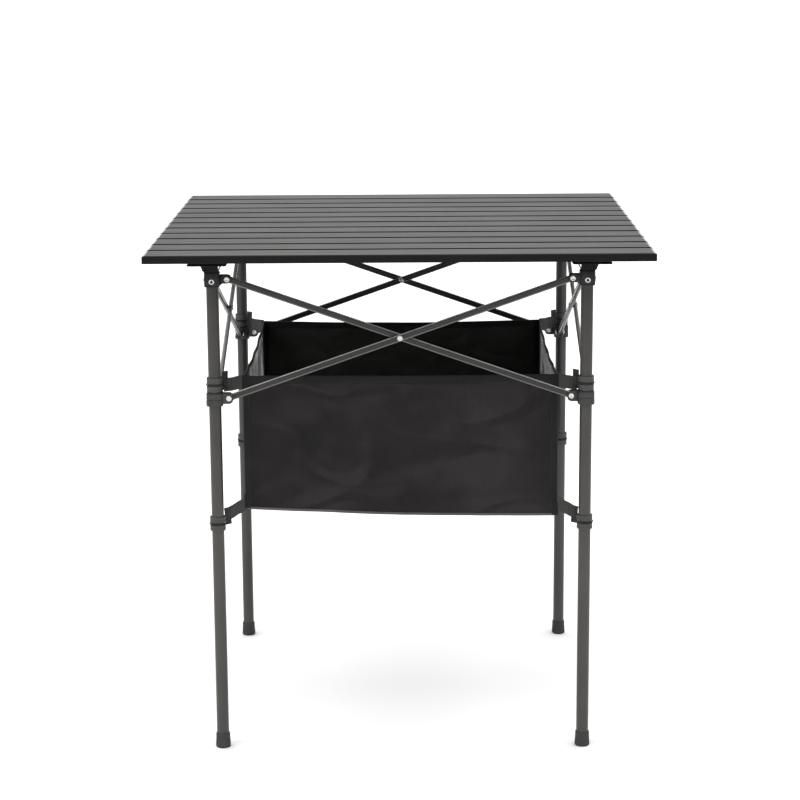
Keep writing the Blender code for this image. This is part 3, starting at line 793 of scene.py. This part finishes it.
# ================= slatted top =================
def slat_mesh(y0, first=False):
    w = (PITCH - 0.0012) / 2
    t = 0.0027
    e = 0.0024
    pts = []          # outer outline, from the front bottom round over the top
    def p(y, z, m):
        pts.append((y, z, m))
    p(-w + 0.0045, -SLAT_T + 0.0012, 1)
    p(-w + 0.0045, -SLAT_T, 1)
    p(-w + 0.0006, -SLAT_T, 1)
    p(-w, -SLAT_T + 0.0006, 1)
    p(-w, -e, 1)
    p(-w + e * 0.13, -e * 0.5, 1)
    p(-w + e * 0.5, -e * 0.13, 1)
    # painted shade: a 0.7 mm strip of the flat top beside the front chamfer is left out of the top material and goes
    # dark
    p(-w + e, 0.0, 1)
    p(-w + e + 0.0007, 0.0, 0)
    # shallow drawn flutes along the slat
    for c in (-0.0165, -0.0055, 0.0055, 0.0165):
        for d, z in ((-0.0034, 0.0), (-0.0022, -0.00022), (0.0, -0.00032), (0.0022, -0.00022), (0.0034, 0.0)):
            p(c + d, z, 0)
    # painted shade: a 3.1 mm strip of the flat top beside the rear chamfer is left out of the top material and goes
    # dark
    p(w - e - 0.0032, 0.0, 0)
    p(w - e - 0.0031, 0.0, 1)
    p(w - e, 0.0, 1)
    p(w - e * 0.5, -e * 0.13, 1)
    p(w - e * 0.13, -e * 0.5, 1)
    p(w, -e, 1)
    p(w, -SLAT_T + 0.0006, 1)
    p(w - 0.0006, -SLAT_T, 1)
    p(w - 0.0045, -SLAT_T, 1)
    p(w - 0.0045, -SLAT_T + 0.0012, 1)
    p(w - t, -SLAT_T + 0.0012, 1)
    p(w - t, -t - 0.0005, 1)
    p(w - t - 0.0005, -t, 1)
    p(0.0009, -t, 1)
    p(0.0007, -SLAT_T + 0.0025, 1)
    p(-0.0007, -SLAT_T + 0.0025, 1)
    p(-0.0009, -t, 1)
    p(-w + t + 0.0005, -t, 1)
    p(-w + t, -t - 0.0005, 1)
    p(-w + t, -SLAT_T + 0.0012, 1)
    bm = bmesh.new()
    L = TOP / 2
    rows = []
    for x, lift in ((-L, 0.0012), (-L + 0.0034, 0.0), (-L * 0.5, 0), (0, 0), (L * 0.5, 0), (L - 0.0034, 0), (L, 0.0012)):
        ring = []
        for y, z, m in pts:
            zz = min(z, -lift) if z > -t * 0.9 else z
            ring.append(bm.verts.new((x, y + y0, zz)))
        rows.append(ring)
    n = len(pts)
    for q, (a, b) in enumerate(zip(rows, rows[1:])):
        for i in range(n):
            j = (i + 1) % n
            f = bm.faces.new((a[i], a[j], b[j], b[i]))
            top = pts[i][2] == 0 and pts[j][2] == 0
            f.material_index = 0 if top else 1
            if q in (0, len(rows) - 2) and top:
                f.material_index = 2
            mid = (pts[i][0] + pts[j][0]) / 2
            # painted shade: chamfers and top strips beside each gap take a near-black material, darker than the
            # anodising, standing in for the shade between slats
            if not top and max(pts[i][1], pts[j][1]) > -t and (mid > 0 or not first) and pts[i][1] > -e * 1.01:
                f.material_index = 4
    for r in (rows[0], rows[-1]):
        bm.faces.new(r).material_index = 3
    return mesh_obj("slat", bm, ["slat", "slat_edge", "cut", "cut_end", "slat_gap"], 25)


for k in range(SLATS):
    o = slat_mesh(-TOP / 2 + PITCH * (k + 0.5), k == 0)
    o.name = "top_slat_%02d" % (k + 1)
    o.matrix_world = Matrix.Translation((0, 0, TOP_Z))
    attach(o, "top_%02d" % (k + 1))
    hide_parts("slat_%02d" % (k + 1))

# elastic cord: a length inside each slat, riding with it, and a short one across each gap
CX, CZ, CR = 0.3050, TOP_Z - 0.0065, 0.0011
def cord_run(name, pts, body=None, ab=None):
    bm = bmesh.new()
    tube_path(bm, pts, CR, 10)
    o = mesh_obj(name, bm, ["cord"], 180, False)
    if ab:
        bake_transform(o)
    else:
        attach(o, body)
    return o


for s, side in ((-1, "left"), (1, "right")):
    for k in range(1, SLATS):
        y = -TOP / 2 + PITCH * k
        cord_run("cord_gap_%s_%02d" % (side, k), [Vector((s * CX, y - 0.010 + 0.001 * i, CZ)) for i in range(21)], ab=(k, y))
    for k in range(SLATS):
        y0 = -TOP / 2 + PITCH * k + (0.010 if k else 0.006)
        y1 = -TOP / 2 + PITCH * (k + 1) - 0.010
        if k == SLATS - 1:
            break
        o = cord_run("cord_run_%s_%02d" % (side, k + 1), [Vector((s * CX, y0 + (y1 - y0) * i / 6, CZ)) for i in range(7)], "top_%02d" % (k + 1))
        if s < 0 and k == 0:
            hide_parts("elastic_cord")
y0, y1, b = TOP / 2 - PITCH + 0.010, TOP / 2 - 0.020, 0.008
loop = [Vector((-CX, y0, CZ)), Vector((-CX, y1 - b, CZ))]
loop += [Vector((-CX + b - b * math.cos(a), y1 - b + b * math.sin(a), CZ)) for a in (0.4, 0.8, 1.2, 1.57)]
loop += [Vector((-p.x, p.y, p.z)) for p in reversed(loop)]
cord_run("cord_end_loop", loop, "top_12")


# ================= storage bag =================
def fbm(x, y, s, seed):
    return noise.noise(Vector((x * s + seed, y * s - seed, seed * 0.37)))


def solidify(o, t=0.0009):
    m = o.modifiers.new("cloth", "SOLIDIFY")
    m.thickness, m.offset = t, 0.0
    return o


def grid_obj(name, nu, nv, fn, mats, matfn=None):
    bm = bmesh.new()
    vs = [[bm.verts.new(fn(i / nu, j / nv)) for j in range(nv + 1)] for i in range(nu + 1)]
    for i in range(nu):
        for j in range(nv):
            f = bm.faces.new((vs[i][j], vs[i + 1][j], vs[i + 1][j + 1], vs[i][j + 1]))
            f.material_index = matfn((i + 0.5) / nu, (j + 0.5) / nv) if matfn else 0
    return mesh_obj(name, bm, mats, 180, False)


def bottom_z(u):
    """front and back panels' bottom edge, u from the left (0) to the right (1)"""
    return 0.3515 - 0.0125 * u - 0.0035 * math.sin(math.pi * u)


def top_z(u, sag=0.0015):
    return BAG_Z1 - sag * math.sin(math.pi * u)


def rub(o, fn_d):
    """per-vertex value that the cloth shader mixes towards a paler colour: painted light on the bag panels, where it
    follows the slope of the folds and rises towards the bottom, and random blotches there and on the bag floor
    """
    at = o.data.attributes.new("rub", "FLOAT", "POINT")
    for i, v in enumerate(o.data.vertices):
        at.data[i].value = fn_d(v.co)


def wrinkle(u, v, seed):
    """soft drape of the panel: tension folds from the corners and a gentle belly"""
    d = 0.0015 * math.exp(-((v - 0.93 + 0.03 * math.sin(u * 9 + seed)) / 0.05) ** 2)
    for cu, cv, a in ((0, 1, 0.9), (1, 1, -0.9), (0, 0, -0.7), (1, 0, 0.7)):
        x, y = (u - cu) * 2.2, (v - cv)
        r = math.hypot(x, y)
        ang = math.atan2(y, x)
        d += 0.0032 * math.exp(-r * 1.8) * math.sin(ang * 8 + seed + 5 * r) * min(1, r * 5)
    # long slanting folds and a few sharper creases
    w1, w2 = fbm(u * 2.0, v * 1.1, 1.3, seed), fbm(u * 2.0, v * 1.1, 2.1, seed + 9)
    d += 0.0075 * fbm(u * 1.5 + v * 0.9, v * 3.2 - u * 1.1 + w2 * 0.6, 1.2, seed + 3) + 0.0030 * w1
    d += 0.0030 * (1 - 2 * min(1.0, abs(fbm(u * 2.6 - v * 0.8, v * 2.0 + u * 1.3, 1.5, seed + 5)) * 4)) * max(0.0, 0.6 + w2)
    d += 0.0007 * fbm(u * 2.2, v * 1.3, 6.5, seed + 7)
    return d * min(1.0, 5 * u, 5 * (1 - u)) * min(1.0, 6 * v + 0.2) * (1 if v < 0.95 else 0.4)


def panel_y(u, v, sy, seed):
    belly = 0.006 * math.sin(math.pi * u) * math.sin(math.pi * min(1, v * 0.9 + 0.05))
    return sy * (BAG + belly * 0.8 + wrinkle(u, v, seed))


def panel(name, sy, seed, sag=0.0015):
    def fn(u, v):
        x = -BAG + 2 * BAG * u
        z = bottom_z(u) + (top_z(u, sag) - bottom_z(u)) * v
        return Vector((x, panel_y(u, v, sy, seed), z))
    o = grid_obj(name, 150, 66, fn, ["cloth_x" if sy < 0 else "cloth_in"])
    return o, fn


def strip_on(name, fn, path, width, lift, mats, sy=0.0, n=120, thick=0.0011, axis="y", stitch=True, fold=True):
    """a sewn tape lying on a surface: path gives (u, v) and the direction across it in (u, v)"""
    bm = bmesh.new()
    rows = []
    for i in range(n + 1):
        t = i / n
        (u, v), (du, dv) = path(t)
        a = fn(u, v)
        b = fn(min(1, max(0, u + du)), min(1, max(0, v + dv)))
        d = (b - a).normalized()
        nrm = Vector((0, -1 if sy < 0 else 1, 0)) if axis == "y" else Vector((-1 if sy < 0 else 1, 0, 0))
        out = []
        for w, h in ((-0.02, -1), (-0.05, 0), (0.0, 0.9), (0.06, 1.0), (0.5, 1.04), (0.93, 1.0), (1.0, 0.6), (1.0, 0.1), (0.95, -1), (0.5, -1)):
            out.append(a + d * (width * w) + nrm * (lift * 0.5 * h + (0.0001 * math.sin(t * 140 + w) if h > 0 else 0)))
        rows.append(out)
    rings = sweep(bm, rows, True, 0)
    capped(bm, rings)
    if stitch:
        length = sum((rows[i + 1][4] - rows[i][4]).length for i in range(n))
        count = int(length / 0.0034)
        for q in range(count):
            t = (q + 0.2) / count
            t2 = (q + 0.75) / count
            pts = []
            for tt in (t, (t + t2) / 2, t2):
                (u, v), (du, dv) = path(tt)
                a = fn(u, v)
                b = fn(min(1, max(0, u + du)), min(1, max(0, v + dv)))
                d = (b - a).normalized()
                nrm = Vector((0, -1 if sy < 0 else 1, 0)) if axis == "y" else Vector((-1 if sy < 0 else 1, 0, 0))
                pts.append(a + d * (width * 0.84) + nrm * (lift * 0.5 + 0.00018))
            tube_path(bm, pts, 0.00022, 4, 1)
    return mesh_obj(name, bm, mats, 50)


def squashed(o, body, axis, anchor):
    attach(o, body)
    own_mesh(o)
    return o


AX = ((1, 0, 0), (-BAG, 0, 0))
AY = ((0, 1, 0), (0, -BAG, 0))
for name, sy, body, seed, sag in (("bag_front", -1, "collars_fl", 1.3, 0.0012), ("bag_back", 1, "collars_bl", 5.7, 0.0040)):
    o, fn = panel(name, sy, seed, sag)

    def rub_at(p, seed=seed, sag=sag):
        u = (p.x + BAG) / (2 * BAG)
        v = (p.z - bottom_z(u)) / (top_z(u, sag) - bottom_z(u))
        h = 0.02
        up = (wrinkle(u, min(1, v), seed) - wrinkle(u, min(1, v + h), seed)) / (h * 0.2)
        side = (wrinkle(min(1, u + h), v, seed) - wrinkle(max(0, u - h), v, seed)) / (h * 0.9)
        # painted light: the value rises with the slope of the folds up and across the panel, as lamp shading would, and
        # towards the bottom, as painted floor bounce; the two noise terms add random blotches
        t = 0.16 + 2.2 * up + 1.3 * side + 0.42 * (1 - v) ** 2 + 1.0 * fbm(u * 2, v, 2.0, seed + 2) + 0.5 * fbm(u * 2, v, 6.0, seed + 4)
        return min(1.0, max(0.0, t))

    rub(o, rub_at)
    solidify(o)
    tapes = []
    hem = strip_on(name + "_hem", fn, lambda t: ((t, 1.0), (0, -0.03)), 0.0100, 0.0030, ["tape_x", "thread"], sy)
    inner = strip_on(name + "_hem_inside", fn, lambda t: ((t, 1.0), (0, -0.03)), 0.0100, 0.0026, ["tape_x", "thread"], -sy)
    left = strip_on(name + "_tape_left", fn, lambda t: ((0.0, 0.02 + 0.97 * t), (0.03, 0)), 0.0085, 0.0024, ["tape_x", "thread"], sy, 60)
    right = strip_on(name + "_tape_right", fn, lambda t: ((1.0, 0.02 + 0.97 * t), (-0.03, 0)), 0.0100, 0.0024, ["tape_x", "thread"], sy, 60)
    # rolled piping along the bottom seam
    bm = bmesh.new()
    tube_path(bm, [fn(i / 100, 0.0) + Vector((0, 0, -0.0003 + 0.0005 * fbm(i * 0.05, 0.3, 1.0, seed))) for i in range(101)], 0.0021, 10)
    pipe = mesh_obj(name + "_piping", bm, ["piping"], 180, False)
    for q in (o, hem, inner, left, right, pipe):
        squashed(q, body, *AX)
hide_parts("bag_walls")

# mesh sides: the top hem hangs in a curve from the back corner to the front one
for name, sx, body, seed in (("net_left", -1, "collars_fl", 2.2), ("net_right", 1, "collars_fr", 8.4)):
    u0 = 0.0 if sx < 0 else 1.0
    def fn(u, v, sx=sx, seed=seed, u0=u0):
        y = -BAG + 2 * BAG * u
        lo = bottom_z(u0) - 0.001 * math.sin(math.pi * u)
        hi = BAG_Z1 - 0.001 - SIDE_DIP * math.sin(math.pi * u) * (1 + 0.15 * math.sin(2 * math.pi * u))
        z = lo + (hi - lo) * v
        mid = math.sin(math.pi * u)
        inward = 0.0020 * mid * (v ** 3) - 0.003 * mid * math.sin(math.pi * v)
        ripple = 0.0036 * mid ** 0.5 * v * max(0.12, 1 - v) * 1.6 * math.sin(u * 26 + seed + 3 * v) + 0.0022 * fbm(u * 2.4, v * 1.2, 2.2, seed) * mid * (1.1 - v)
        return Vector((sx * (BAG - inward - ripple), y, z))
    o = grid_obj(name, 110, 34, fn, ["net"])
    solidify(o, 0.0008)
    hem = strip_on(name + "_hem", fn, lambda t: ((t, 1.0), (0, -0.03)), 0.0060, 0.0024, ["tape_y", "thread"], sx, axis="x")
    low = strip_on(name + "_base_tape", fn, lambda t: ((t, 0.0), (0, 0.03)), 0.0080, 0.0022, ["tape_y", "thread"], sx, axis="x")
    f = strip_on(name + "_tape_front", fn, lambda t: ((0.0, t), (0.03, 0)), 0.0075, 0.0022, ["tape_y", "thread"], sx, 60, axis="x")
    r = strip_on(name + "_tape_back", fn, lambda t: ((1.0, t), (-0.03, 0)), 0.0075, 0.0022, ["tape_y", "thread"], sx, 60, axis="x")
    for q in (o, hem, low, f, r):
        squashed(q, body, *AY)

# floor in two halves that fold up along the middle
for name, sx, body in (("bag_floor_l", -1, "floor_left"), ("bag_floor_r", 1, "floor_right")):
    def fn(a, b, sx=sx):
        u = 0.5 + sx * 0.5 * a            # across, from the middle out
        x = sx * BAG * a
        s, zf = 2 * b - 1, bottom_z(u)
        edge = min(1, (1 - abs(s)) * 6) * min(1, (1 - a) * 6)
        sag = 0.010 * (1 - a ** 2) * (1 - s ** 2)
        front, back = panel_y(u, 0.0, -1, 1.3), panel_y(u, 0.0, 1, 5.7)
        y = front + (back - front) * b
        return Vector((x, y, zf - sag - 0.0002 + (0.0034 * fbm(x * 5, y * 9, 1.2, 3.0) + 0.0012 * fbm(x * 5 + y * 7, y * 4, 3.1, 6.0)) * edge))
    o = grid_obj(name, 60, 110, fn, ["cloth_y"])
    rub(o, lambda p: min(1.0, max(0.0, 0.25 + 1.1 * fbm(p.x * 6, p.y * 9, 1.3, 4.0) + 0.6 * fbm(p.x * 9 + p.y * 5, p.y * 6, 3.0, 2.0))))
    solidify(o)
    squashed(o, body, *AY)
    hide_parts("bag_floor_left" if sx < 0 else "bag_floor_right")

# corner tabs: short folded tapes where the straps are sewn on
for k, c in enumerate(CORNERS):
    sx, sy = (-1, 1, 1, -1)[k], (-1, -1, 1, 1)[k]
    bm = bmesh.new()
    for z0, z1 in ((bottom_z(0 if sx < 0 else 1) - 0.0015, bottom_z(0 if sx < 0 else 1) + 0.0195), (BAG_Z1 - 0.0205, BAG_Z1 + 0.0002)):
        for dx, dy in ((-sx * 0.0085, 0), (0, -sy * 0.0085)):
            a = Vector((sx * (BAG + 0.0014), sy * (BAG + 0.0014), 0))
            rows = []
            for i in range(7):
                t = i / 6
                p = a + Vector((dx, dy, 0)) * t
                nrm = Vector((0, sy, 0)) if dx else Vector((sx, 0, 0))
                rows.append([p + nrm * h + Vector((0, 0, z)) for h, z in ((-0.0006, z0), (0.0006, z0 + 0.0003), (0.0008, (z0 + z1) / 2), (0.0006, z1 - 0.0003), (-0.0006, z1))])
            capped(bm, sweep(bm, rows, True))
    o = mesh_obj("corner_tab_" + c, bm, ["tape_x"], 50)
    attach(o, "collars_" + c)

# ================= floor, light, camera =================
bm = bmesh.new()
bmesh.ops.create_grid(bm, x_segments=2, y_segments=2, size=150)
me = bpy.data.meshes.new("floor")
bm.to_mesh(me)
bm.free()
floor = bpy.data.objects.new("studio_floor", me)
scene.collection.objects.link(floor)
fm = Mat("studio_white", 0.7)
fm.color(fm.ramp(fm.noise(3, 2), [(0.0, (0.95, 0.95, 0.95)), (1.0, (0.965, 0.965, 0.965))]))
me.materials.append(fm.m)

world = bpy.data.worlds.new("studio")
scene.world = world
world.use_nodes = True
bg = world.node_tree.nodes["Background"]
wt = world.node_tree
sep = wt.nodes.new("ShaderNodeSeparateXYZ")
wt.links.new(wt.nodes.new("ShaderNodeTexCoord").outputs["Generated"], sep.inputs[0])
wr = wt.nodes.new("ShaderNodeMapRange")
wr.interpolation_type = "SMOOTHSTEP"
wr.inputs["From Min"].default_value, wr.inputs["From Max"].default_value = 0.05, 0.85
wr.inputs["To Min"].default_value, wr.inputs["To Max"].default_value = 0.38, 1.75
wt.links.new(sep.outputs[2], wr.inputs["Value"])
wt.links.new(wr.outputs[0], bg.inputs["Strength"])
bg.inputs["Color"].default_value = (1, 1, 1, 1)


def area_light(name, loc, aim, size, power):
    d = bpy.data.lights.new(name, "AREA")
    d.shape, d.size, d.energy = "DISK", size, power
    o = bpy.data.objects.new(name, d)
    scene.collection.objects.link(o)
    o.location = loc
    o.rotation_mode = "QUATERNION"
    o.rotation_quaternion = (Vector(aim) - Vector(loc)).to_track_quat("-Z", "Y")
    return o


def sun(name, aim, power, spread):
    d = bpy.data.lights.new(name, "SUN")
    d.energy, d.angle = power, math.radians(spread)
    o = bpy.data.objects.new(name, d)
    scene.collection.objects.link(o)
    o.rotation_mode = "QUATERNION"
    o.rotation_quaternion = Vector(aim).to_track_quat("-Z", "Y")
    return o


sun("overhead", (0.12, 0.25, -1.0), 0.55, 100)
area_light("key", (-1.9, -1.6, 1.9), (0, 0, 0.45), 1.6, 12)
area_light("fill", (2.2, -2.4, 1.2), (0, 0, 0.5), 1.8, 2)

F, CXW, CYW, CZW, PT, YAW, ROLL = 2199.4, 0.0161, -3.3073, 1.1684, 0.21073, 0.00547, -0.00652
cam_data = bpy.data.cameras.new("camera")
cam_data.sensor_width = 36
cam_data.lens = F * 36 / 800
cam = bpy.data.objects.new("camera", cam_data)
scene.collection.objects.link(cam)
fwd = Vector((-math.sin(YAW) * math.cos(PT), math.cos(YAW) * math.cos(PT), -math.sin(PT)))
right = Vector((math.cos(YAW), math.sin(YAW), 0))
up = right.cross(fwd)
r2 = math.cos(ROLL) * right + math.sin(ROLL) * up
u2 = -math.sin(ROLL) * right + math.cos(ROLL) * up
cam.matrix_world = Matrix(((r2.x, u2.x, -fwd.x, CXW), (r2.y, u2.y, -fwd.y, CYW), (r2.z, u2.z, -fwd.z, CZW), (0, 0, 0, 1)))
scene.camera = cam
